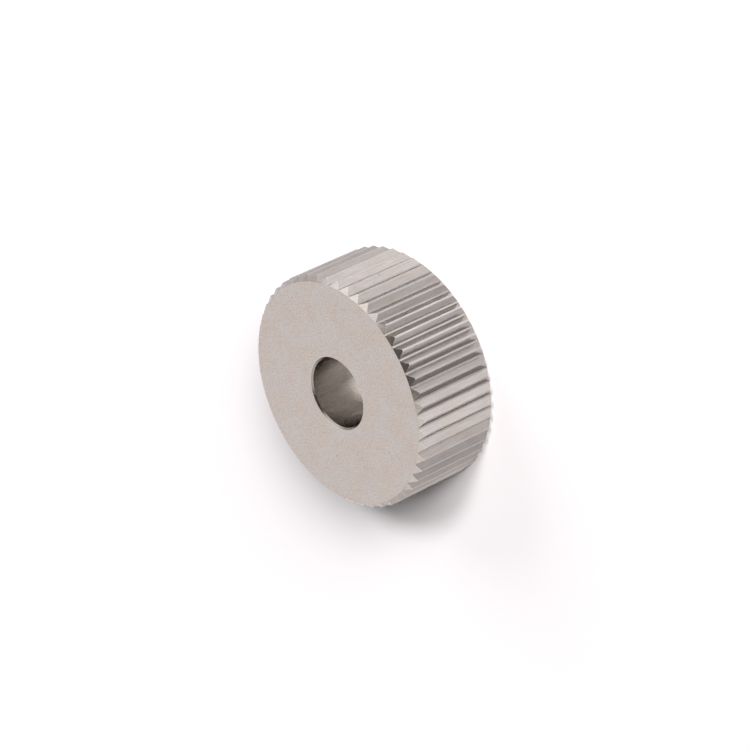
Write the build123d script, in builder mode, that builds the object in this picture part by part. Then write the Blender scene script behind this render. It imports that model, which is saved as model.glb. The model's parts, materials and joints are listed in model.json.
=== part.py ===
from build123d import *

import os
from math import cos, degrees, pi, sin

# Straight-tooth embossing wheel: a turned steel ring with V teeth cut round its rim.
# Millimetres. The wheel stands on its flat back face at Z = 0, and its axis is +Z.

# Blank
outer_diameter = 20.0
width = 8.0
bore_diameter = 6.0
bore_chamfer = 0.15

# Teeth, straight and parallel to the axis
tooth_count = 52
tooth_depth = 0.41
crest_land = 0.13
crest_rounding = 0.04
root_land = 0.14
root_rounding = 0.05

# The end bevel is turned at 45 degrees and runs this far in below the tooth roots,
# so that each tooth end is a triangle standing on the plain round edge of the face
bevel_past_root = 0.02

outer_radius = outer_diameter / 2
bore_radius = bore_diameter / 2
root_radius = outer_radius - tooth_depth
end_bevel = tooth_depth + bevel_past_root
face_radius = outer_radius - end_bevel

# A tooth gap in section: its mouth corners lie on the outer circle
pitch_angle = 2 * pi / tooth_count
gap_half_angle = (pitch_angle - crest_land / outer_radius) / 2
mouth_x = outer_radius * cos(gap_half_angle)
mouth_y = outer_radius * sin(gap_half_angle)
clear_of_rim = outer_radius + tooth_depth
gap_outline = [
    (root_radius, root_land / 2),
    (mouth_x, mouth_y),
    (clear_of_rim, mouth_y),
    (clear_of_rim, -mouth_y),
    (mouth_x, -mouth_y),
    (root_radius, -root_land / 2),
]

# Half section of the turned blank, which the toothed bar is trimmed to
blank_outline = [
    (0, 0),
    (face_radius, 0),
    (outer_radius, end_bevel),
    (outer_radius, width - end_bevel),
    (face_radius, width),
    (0, width),
]


def on_outer_circle(vertex):
    """Tell whether a corner of the section lies on the crest circle."""
    return vertex.center().length > outer_radius - crest_rounding


# The section is turned by half a pitch, so that a crest lies on +X and on +Y
tooth_plane = Plane.XY.rotated((0, 0, degrees(pitch_angle) / 2))

with BuildSketch() as tooth_gap:
    Polygon(*gap_outline, align=None)
    fillet(tooth_gap.vertices().group_by(Axis.X)[0], root_rounding)

with BuildPart() as embossing_wheel:
    # A toothed bar with its bore
    with BuildSketch(tooth_plane) as section:
        Circle(outer_radius)
        with PolarLocations(0, tooth_count):
            add(tooth_gap.sketch, mode=Mode.SUBTRACT)
        fillet(section.vertices().filter_by(on_outer_circle), crest_rounding)
        Circle(bore_radius, mode=Mode.SUBTRACT)
    extrude(amount=width)

    # Both ends turned down to their bevels
    with BuildSketch(Plane.XZ):
        Polygon(*blank_outline, align=None)
    revolve(axis=Axis.Z, mode=Mode.INTERSECT)

    # Both mouths of the bore broken
    end_face_rings = embossing_wheel.faces().filter_by(Plane.XY).edges().filter_by(GeomType.CIRCLE)
    chamfer(end_face_rings.group_by(SortBy.RADIUS)[0], bore_chamfer)

embossing_wheel.part.label = "embossing_wheel"

os.makedirs("parts", exist_ok=True)
export_step(embossing_wheel.part, "parts/embossing_wheel.step")
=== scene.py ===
import json
from math import cos, radians

import bmesh
import bpy
from bpy.props import FloatProperty, FloatVectorProperty, PointerProperty
from mathutils import Euler, Matrix, Vector


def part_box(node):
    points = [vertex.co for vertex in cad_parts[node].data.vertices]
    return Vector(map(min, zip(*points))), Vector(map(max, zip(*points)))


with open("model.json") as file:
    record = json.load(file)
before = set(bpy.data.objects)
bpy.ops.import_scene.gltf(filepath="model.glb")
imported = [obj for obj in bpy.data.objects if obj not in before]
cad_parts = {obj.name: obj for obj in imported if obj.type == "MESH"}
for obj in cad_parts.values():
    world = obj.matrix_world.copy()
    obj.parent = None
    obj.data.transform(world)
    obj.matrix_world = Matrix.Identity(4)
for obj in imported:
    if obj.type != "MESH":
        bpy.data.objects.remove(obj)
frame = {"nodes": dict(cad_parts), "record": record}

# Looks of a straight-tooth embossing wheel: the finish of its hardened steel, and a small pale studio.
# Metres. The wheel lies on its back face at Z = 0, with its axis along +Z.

bl_info = {
    "name": "Embossing Wheel",
    "version": (1, 0, 0),
    "blender": (4, 5, 0),
    "location": "View3D > Sidebar > Wheel",
    "description": "Finishes a straight-tooth embossing wheel in satin tool steel and lights it",
    "category": "Object",
}

WHEEL_NODE = "embossing_wheel"
MM = 0.001

# The wheel's own sizes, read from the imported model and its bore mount
low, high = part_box(WHEEL_NODE)
OUTER_RADIUS = (high.x - low.x) / 2
MIDDLE = (high.z - low.z) / 2
BORE = next(m for m in frame["record"]["mounts"] if m["name"] == "bore")
BORE_RADIUS = BORE["dims"]["r_mm"] * MM

# How far in the end bevels run, in millimetres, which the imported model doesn't name
END_BEVEL = 0.43

# Borders of the finishes: millimetres from the edge of each to where it starts to show, and to where
# it shows in full
BORE_BORDER = (0.03, 0.01)
BEVEL_BORDER = (-0.03, -0.01)
FACE_BORDER = (-0.015, -0.002)
# The crests' border is that of a painted highlight along the tooth tips
CREST_HIGHLIGHT_BORDER = (-0.045, -0.015)

# Patterns in the steel: noise scale per millimetre, and detail
MOTTLE = (2.2, 4.0)
CLOUD = (0.5, 2.0)
SPECKLE = (6.5, 3.0)
GRAIN = (16.0, 3.0)
STREAKS = (9.0, 3.0)
STREAK_STRETCH = (1.0, 1.0, 0.06)
NOISE_ROUGHNESS = 0.6

# Spots in a cell pattern: cells to a millimetre, then for the pits and for the glints, which are painted
# highlights, where a spot's edge fades, in cells from its middle, and which cells have one, by a cell's own
# random number
CELLS = 1.3
PIT_EDGE = (0.10, 0.05)
PIT_CELLS = (0.55, 0.75)
PAINTED_GLINT_EDGE = (0.09, 0.04)
PAINTED_GLINT_CELLS = (0.40, 0.20)

# How strongly each pattern changes the steel's brightness
MOTTLE_SHADE = 0.18
CLOUD_SHADE = 0.14
STREAK_SHADE = 0.50
SPECKLE_SHADE = 0.70
PIT_SHADE = 0.35
# Painted highlight: how strongly the glints lighten the steel
PAINTED_GLINT_STRENGTH = 0.16
# Painted highlight: how strongly the crests are lightened
CREST_PAINTED_HIGHLIGHT = 0.22

# How strongly the mottle changes the roughness
MOTTLE_ROUGHNESS = 0.06

# The cloud turns the steel from a warm tint to a cool one between two of its levels
TINT_LEVELS = (-0.08, 0.08)
WARM_TINT = (1.01, 1.0, 0.985)
COOL_TINT = (0.985, 1.0, 1.015)

# The relief in the steel: its scale in metres, and how strongly each pattern shows in it
RELIEF = 0.000004
GRAIN_RELIEF = 0.5
PIT_RELIEF = 3.0
STREAK_RELIEF = 1.5

# Lights that only the floor sees: name, azimuth, elevation and apparent width in degrees, and strength
FLOOR_LIGHTS = (
    ("key", -155, 30, 18, 1.8),
    ("side", -131, 47, 12, 1.68),
    ("low", -150, 25, 31, 2.36),
    ("fill", -69, 25, 44, 1.2),
)
LIGHT_DISTANCE = 0.3

# The beam down the bore: azimuth and elevation, and spread, in degrees
BEAM_PLACE = (0, 90)
BEAM_SPREAD = 2

# Soft panels that only the steel mirrors, each laid over the ones before it:
# azimuth, elevation, radius and edge in degrees, and brightness
PANELS = (
    (-84, 33, 23, 18, 1.38),
    (-145, 10, 24, 10, 1.0),
    (-170, 53, 29.5, 4, 0.11),
    (105, 30, 38, 10, 1.0),
    (0, -90, 60, 20, 0.80),
    (-80, -36, 20, 20, 1.5),
    (-139, -36, 27, 17, 2.75),
    (-97, -36, 12, 12, 1.35),
    (108, -36, 20, 12, 1.4),
    (22, -36, 10, 8, 1.45),
)
# The warm tint of all that the steel mirrors in the studio, and the backdrop that the camera sees
PANEL_TINT = (1.0625, 1.0, 0.956)
WHITE = (1.0, 1.0, 1.0)

# The floor's pale, faintly pink colour, and how clear it is to the steel, which mirrors the panels
# below through it
FLOOR_COLOUR = (0.925, 0.886, 0.894)
FLOOR_CLEARNESS = 0.4

# The width of the camera's sensor in millimetres, and the nearest that it sees in metres
SENSOR_WIDTH = 36
CLIP_START = 0.01


class Value:
    """A shader socket that takes part in Python arithmetic by adding Math nodes."""

    def __init__(self, graph, socket):
        self.graph = graph
        self.socket = socket

    def math(self, operation, *others):
        """Add a Math node with this socket as its first value."""
        inputs = {0: self, **dict(enumerate(others, 1))}
        return self.graph.node("ShaderNodeMath", {"operation": operation}, inputs).value()

    def __add__(self, other):
        return self.math("ADD", other)

    __radd__ = __add__

    def __sub__(self, other):
        return self.math("SUBTRACT", other)

    def __rsub__(self, other):
        return self.math("MULTIPLY_ADD", -1.0, other)

    def __mul__(self, other):
        return self.math("MULTIPLY", other)

    __rmul__ = __mul__

    def __abs__(self):
        return self.math("ABSOLUTE")

    def ramp(self, start, end):
        """Rise smoothly from 0 at start to 1 at end, or fall where end is the smaller."""
        settings = {"interpolation_type": "SMOOTHSTEP"}
        low_to_high = (0.0, 1.0) if end > start else (1.0, 0.0)
        limits = dict(zip(("From Min", "From Max"), sorted((start, end))))
        targets = dict(zip(("To Min", "To Max"), low_to_high))
        return self.graph.node("ShaderNodeMapRange", settings, {"Value": self, **limits, **targets}).value()

    def across(self, edge, border):
        """Ramp across a border that is given by two distances from an edge."""
        start, end = border
        return self.ramp(edge + start, edge + end)


class Node:
    """A shader node whose outputs are asked for by name or number."""

    def __init__(self, graph, node):
        self.graph = graph
        self.node = node

    def value(self, output=0):
        return Value(self.graph, self.node.outputs[output])


class Graph:
    """The node tree of one material or world."""

    def __init__(self, tree):
        self.tree = tree
        tree.nodes.clear()

    def node(self, kind, settings=None, inputs=None):
        """Make a node, set its settings, then feed its sockets with values or links."""
        node = self.tree.nodes.new(kind)
        for name, setting in (settings or {}).items():
            setattr(node, name, setting)
        for key, source in (inputs or {}).items():
            if isinstance(source, Value):
                self.tree.links.new(source.socket, node.inputs[key])
            else:
                node.inputs[key].default_value = source
        return Node(self, node)

    def mix(self, factor, first, second):
        """Blend two numbers or patterns by a mask."""
        # In a Mix node that works on numbers, sockets 2 and 3 are its A and B
        settings = {"data_type": "FLOAT"}
        return self.node("ShaderNodeMix", settings, {"Factor": factor, 2: first, 3: second}).value(0)

    def mix_colour(self, factor, first, second):
        """Blend two colours by a mask."""
        # In a Mix node that works on colours, sockets 6 and 7 are its A and B
        settings = {"data_type": "RGBA"}
        return self.node("ShaderNodeMix", settings, {"Factor": factor, 6: first, 7: second}).value(2)

    def scaled(self, vector, factor):
        """Multiply a vector or colour by one number or pattern."""
        return self.node("ShaderNodeVectorMath", {"operation": "SCALE"}, {0: vector, "Scale": factor}).value()

    def multiplied(self, first, second):
        """Multiply two vectors or colours part by part."""
        return self.node("ShaderNodeVectorMath", {"operation": "MULTIPLY"}, {0: first, 1: second}).value()

    def noise(self, place, pattern):
        """Noise that swings from -0.5 to 0.5."""
        scale, detail = pattern
        inputs = {"Vector": place, "Scale": scale, "Detail": detail, "Roughness": NOISE_ROUGHNESS}
        return self.node("ShaderNodeTexNoise", None, inputs).value("Fac") - 0.5


def colour(rgb):
    """A colour with its alpha, as a colour socket takes it."""
    return (*rgb, 1.0)


class WheelFinish(bpy.types.PropertyGroup):
    """Colours and roughness of the steel, with the tooth and bore colours darker than the faces' as painted
    shade.
    """

    face_steel: FloatVectorProperty(
        name="Face steel", description="Colour of the satin end faces",
        subtype="COLOR", size=3, min=0, max=1, default=(0.82, 0.767, 0.748))
    # Painted shade: the flanks' colour is far darker than the faces', for the shade on the teeth
    tooth_steel_with_painted_shade: FloatVectorProperty(
        name="Tooth steel", description="Colour of the cut flanks",
        subtype="COLOR", size=3, min=0, max=1, default=(0.345, 0.327, 0.317))
    bevel_steel: FloatVectorProperty(
        name="Bevel steel", description="Colour of the turned end bevels",
        subtype="COLOR", size=3, min=0, max=1, default=(0.55, 0.52, 0.50))
    # Painted shade: the bore's colour is darker than the faces', for the shade inside the hole
    bore_steel_with_painted_shade: FloatVectorProperty(
        name="Bore steel", description="Colour of the honed bore",
        subtype="COLOR", size=3, min=0, max=1, default=(0.40, 0.375, 0.352))
    face_roughness: FloatProperty(
        name="Face roughness", description="Roughness of the two end faces",
        subtype="FACTOR", min=0, max=1, default=0.38)
    tooth_roughness: FloatProperty(
        name="Tooth roughness", description="Roughness of the tooth flanks",
        subtype="FACTOR", min=0, max=1, default=0.20)
    bevel_roughness: FloatProperty(
        name="Bevel roughness", description="Roughness of the turned end bevels",
        subtype="FACTOR", min=0, max=1, default=0.22)
    bore_roughness: FloatProperty(
        name="Bore roughness", description="Roughness of the honed bore",
        subtype="FACTOR", min=0, max=1, default=0.20)


class StudioSettings(bpy.types.PropertyGroup):
    """The camera, the floor and the light."""

    azimuth: FloatProperty(
        name="Azimuth", description="Compass angle of the camera about the wheel's axis",
        subtype="ANGLE", default=radians(-164.265))
    elevation: FloatProperty(
        name="Elevation", description="Angle of the camera above the floor",
        subtype="ANGLE", default=radians(35.825))
    roll: FloatProperty(
        name="Roll", description="Turn of the camera about its line of sight",
        subtype="ANGLE", default=radians(-115.037))
    distance: FloatProperty(
        name="Distance", description="Distance from the camera to the aim point",
        subtype="DISTANCE", unit="LENGTH", default=0.303)
    lens: FloatProperty(
        name="Lens", description="Focal length of the camera",
        subtype="DISTANCE_CAMERA", unit="CAMERA", default=179.49)
    aim: FloatVectorProperty(
        name="Aim", description="Point that the camera looks at",
        subtype="TRANSLATION", unit="LENGTH", size=3, default=(-0.08 * MM, -0.08 * MM, 3.86 * MM))
    floor_size: FloatProperty(
        name="Floor", description="Length of the floor's sides",
        subtype="DISTANCE", unit="LENGTH", default=6.0)
    floor_light: FloatProperty(
        name="Floor light", description="Brightness of the lights that only the floor sees",
        subtype="FACTOR", min=0, soft_max=2, default=1.0)
    bore_power: FloatProperty(
        name="Bore light", description="Power of the narrow beam down the bore",
        subtype="POWER", unit="POWER", default=0.0002)
    sky: FloatProperty(
        name="Sky", description="Brightness of the studio between its panels",
        subtype="FACTOR", min=0, soft_max=2, default=0.625)


def steel_material(settings):
    """Satin tool steel: fine mottling on the faces and lengthwise streaks on the teeth."""
    material = bpy.data.materials.new("satin_tool_steel")
    material.use_nodes = True
    graph = Graph(material.node_tree)

    # Places on the wheel in millimetres
    place = graph.scaled(graph.node("ShaderNodeTexCoord").value("Object"), 1 / MM)
    parts = graph.node("ShaderNodeSeparateXYZ", None, {0: place})
    flat = graph.node("ShaderNodeCombineXYZ", None, {"X": parts.value("X"), "Y": parts.value("Y")}).value()
    radius = graph.node("ShaderNodeVectorMath", {"operation": "LENGTH"}, {0: flat}).value("Value")
    from_middle = abs(parts.value("Z") - MIDDLE / MM)

    # Where each finish lies, and where the crests have their painted highlight
    rim = OUTER_RADIUS / MM
    end = MIDDLE / MM
    hole = BORE_RADIUS / MM
    bore = radius.across(hole, BORE_BORDER)
    bevel = (radius + from_middle).across(rim + end - END_BEVEL, BEVEL_BORDER)
    face = from_middle.across(end, FACE_BORDER)
    crest_highlight = radius.across(rim, CREST_HIGHLIGHT_BORDER)

    # Patterns, with the streaks drawn out along the axis
    mottle = graph.noise(place, MOTTLE)
    cloud = graph.noise(place, CLOUD)
    speckle = graph.noise(place, SPECKLE)
    grain = graph.noise(place, GRAIN)
    streaks = graph.noise(graph.multiplied(place, STREAK_STRETCH), STREAKS)
    cells = graph.node("ShaderNodeTexVoronoi", {"feature": "F1"}, {"Vector": place, "Scale": CELLS})
    chosen = graph.node("ShaderNodeSeparateColor", None, {0: cells.value("Color")}).value(0)
    pits = cells.value("Distance").ramp(*PIT_EDGE) * chosen.ramp(*PIT_CELLS)
    # Painted highlight: the glints are tiny bright spots lightened into the steel's colour
    painted_glints = cells.value("Distance").ramp(*PAINTED_GLINT_EDGE) * chosen.ramp(*PAINTED_GLINT_CELLS)

    rough = graph.mix(face, settings.tooth_roughness, settings.face_roughness)
    rough = graph.mix(bevel, rough, settings.bevel_roughness)
    rough = graph.mix(bore, rough, settings.bore_roughness)
    rough = rough + mottle * MOTTLE_ROUGHNESS

    # The flanks and the bore take their darker colours here, as painted shade
    steel = graph.mix_colour(face, colour(settings.tooth_steel_with_painted_shade), colour(settings.face_steel))
    steel = graph.mix_colour(bevel, steel, colour(settings.bevel_steel))
    steel = graph.mix_colour(bore, steel, colour(settings.bore_steel_with_painted_shade))
    tint = graph.mix_colour(cloud.ramp(*TINT_LEVELS), colour(WARM_TINT), colour(COOL_TINT))
    fine = graph.mix(face, streaks * STREAK_SHADE, speckle * SPECKLE_SHADE)
    shade = 1.0 + mottle * MOTTLE_SHADE + cloud * CLOUD_SHADE + fine
    # Pits darken the steel, and the glints lighten it as a painted highlight
    shade = shade * (1.0 - pits * PIT_SHADE + painted_glints * PAINTED_GLINT_STRENGTH)
    # A painted highlight lightens the steel along the crests
    shade = shade * (1.0 + crest_highlight * CREST_PAINTED_HIGHLIGHT)
    steel = graph.scaled(graph.multiplied(steel, tint), shade)

    streaks_off_faces = graph.mix(face, streaks * STREAK_RELIEF, 0.0)
    height = grain * GRAIN_RELIEF - pits * PIT_RELIEF + streaks_off_faces
    relief = graph.node("ShaderNodeBump", None, {"Strength": 1.0, "Distance": RELIEF, "Height": height})
    shader = graph.node("ShaderNodeBsdfPrincipled", None, {
        "Base Color": steel,
        "Metallic": 1.0,
        "Roughness": rough,
        "Normal": relief.value(),
    })
    graph.node("ShaderNodeOutputMaterial", None, {"Surface": shader.value()})
    return material


class WHEEL_OT_finish_wheel(bpy.types.Operator):
    """Give the wheel its satin steel"""

    bl_idname = "wheel.finish_wheel"
    bl_label = "Finish Wheel"
    bl_options = {"REGISTER", "UNDO"}

    def execute(self, context):
        node = frame["nodes"][WHEEL_NODE]
        material = steel_material(context.scene.wheel_finish)
        for slot in node.material_slots:
            slot.material = material
        return {"FINISHED"}


def pale_floor(size):
    """A plain pale table top, with its surface at the wheel's back face."""
    mesh = bpy.data.meshes.new("floor")
    form = bmesh.new()
    bmesh.ops.create_grid(form, x_segments=1, y_segments=1, size=size / 2)
    form.to_mesh(mesh)
    form.free()

    material = bpy.data.materials.new("pale_floor")
    material.use_nodes = True
    graph = Graph(material.node_tree)
    matt = graph.node("ShaderNodeBsdfDiffuse", None, {"Color": colour(FLOOR_COLOUR)}).value()
    clear = graph.node("ShaderNodeBsdfTransparent").value()
    seen_in_steel = graph.node("ShaderNodeLightPath").value("Is Glossy Ray")
    blend = graph.node("ShaderNodeMixShader", None, {
        0: seen_in_steel * FLOOR_CLEARNESS, 1: matt, 2: clear})
    graph.node("ShaderNodeOutputMaterial", None, {"Surface": blend.value()})
    mesh.materials.append(material)

    floor = bpy.data.objects.new("floor", mesh)
    bpy.context.scene.collection.objects.link(floor)


def outward(azimuth, elevation):
    """The direction from the wheel to a place in the studio."""
    return Euler((0, -elevation, azimuth)).to_matrix() @ Vector((1, 0, 0))


def floor_light(name, kind, azimuth, elevation, power):
    """A light for the floor alone, because the steel has its own panels to mirror."""
    lamp = bpy.data.lights.new(name, kind)
    lamp.energy = power
    light = bpy.data.objects.new(name, lamp)
    away = outward(radians(azimuth), radians(elevation))
    light.location = away * LIGHT_DISTANCE
    light.rotation_euler = away.to_track_quat("Z", "Y").to_euler()
    light.visible_glossy = False
    bpy.context.scene.collection.objects.link(light)
    return lamp


def panelled_studio(sky):
    """The scene's world: soft panels that the steel mirrors, behind a plain white backdrop."""
    world = bpy.data.worlds.new("studio")
    # The scene has its world first, because a change to a world's visibility updates the scene's own
    bpy.context.scene.world = world
    world.use_nodes = True
    world.cycles_visibility.diffuse = False
    graph = Graph(world.node_tree)
    direction = graph.node("ShaderNodeTexCoord").value("Generated")
    brightness = sky
    for azimuth, elevation, radius, edge, level in PANELS:
        axis = tuple(outward(radians(azimuth), radians(elevation)))
        nearness = graph.node("ShaderNodeVectorMath", {"operation": "DOT_PRODUCT"}, {
            0: direction, 1: axis}).value("Value")
        panel = nearness.ramp(cos(radians(radius + edge)), cos(radians(radius - edge)))
        brightness = brightness + panel * (level - brightness)
    seen_directly = graph.node("ShaderNodeLightPath").value("Is Camera Ray")
    tint = graph.mix_colour(seen_directly, colour(PANEL_TINT), colour(WHITE))
    brightness = brightness + seen_directly * (1.0 - brightness)
    background = graph.node("ShaderNodeBackground", None, {"Color": tint, "Strength": brightness})
    graph.node("ShaderNodeOutputWorld", None, {"Surface": background.value()})


def studio_camera(studio):
    """The camera, aimed and rolled by its settings."""
    camera = bpy.data.objects.new("camera", bpy.data.cameras.new("camera"))
    camera.data.lens = studio.lens
    camera.data.sensor_width = SENSOR_WIDTH
    camera.data.clip_start = CLIP_START
    toward = outward(studio.azimuth, studio.elevation)
    place = Matrix.Translation(Vector(studio.aim) + toward * studio.distance)
    upright = toward.to_track_quat("Z", "Y").to_matrix().to_4x4()
    camera.matrix_world = place @ upright @ Matrix.Rotation(studio.roll, 4, "Z")
    bpy.context.scene.collection.objects.link(camera)
    return camera


class WHEEL_OT_set_stage(bpy.types.Operator):
    """Set up the floor, the light and the camera"""

    bl_idname = "wheel.set_stage"
    bl_label = "Set Stage"
    bl_options = {"REGISTER", "UNDO"}

    def execute(self, context):
        studio = context.scene.wheel_studio
        pale_floor(studio.floor_size)
        for name, azimuth, elevation, width, strength in FLOOR_LIGHTS:
            lamp = floor_light(name, "SUN", azimuth, elevation, strength * studio.floor_light)
            lamp.angle = radians(width)
        beam = floor_light("bore_light", "AREA", *BEAM_PLACE, studio.bore_power)
        beam.size = BORE_RADIUS * 2
        beam.spread = radians(BEAM_SPREAD)
        panelled_studio(studio.sky)
        context.scene.view_settings.view_transform = "Standard"
        context.scene.camera = studio_camera(studio)
        return {"FINISHED"}


class WHEEL_PT_sidebar(bpy.types.Panel):
    """Lists the steps that dress the wheel"""

    bl_idname = "WHEEL_PT_sidebar"
    bl_label = "Embossing Wheel"
    bl_space_type = "VIEW_3D"
    bl_region_type = "UI"
    bl_category = "Wheel"

    def draw(self, context):
        for operator in OPERATORS:
            self.layout.operator(operator.bl_idname)


OPERATORS = (WHEEL_OT_finish_wheel, WHEEL_OT_set_stage)
CLASSES = (WheelFinish, StudioSettings, *OPERATORS, WHEEL_PT_sidebar)


def register():
    for item in CLASSES:
        bpy.utils.register_class(item)
    bpy.types.Scene.wheel_finish = PointerProperty(type=WheelFinish)
    bpy.types.Scene.wheel_studio = PointerProperty(type=StudioSettings)


def unregister():
    del bpy.types.Scene.wheel_studio
    del bpy.types.Scene.wheel_finish
    for item in reversed(CLASSES):
        bpy.utils.unregister_class(item)


def main():
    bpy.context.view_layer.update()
    register()
    bpy.ops.wheel.finish_wheel()
    bpy.ops.wheel.set_stage()


if __name__ == "__main__":
    main()
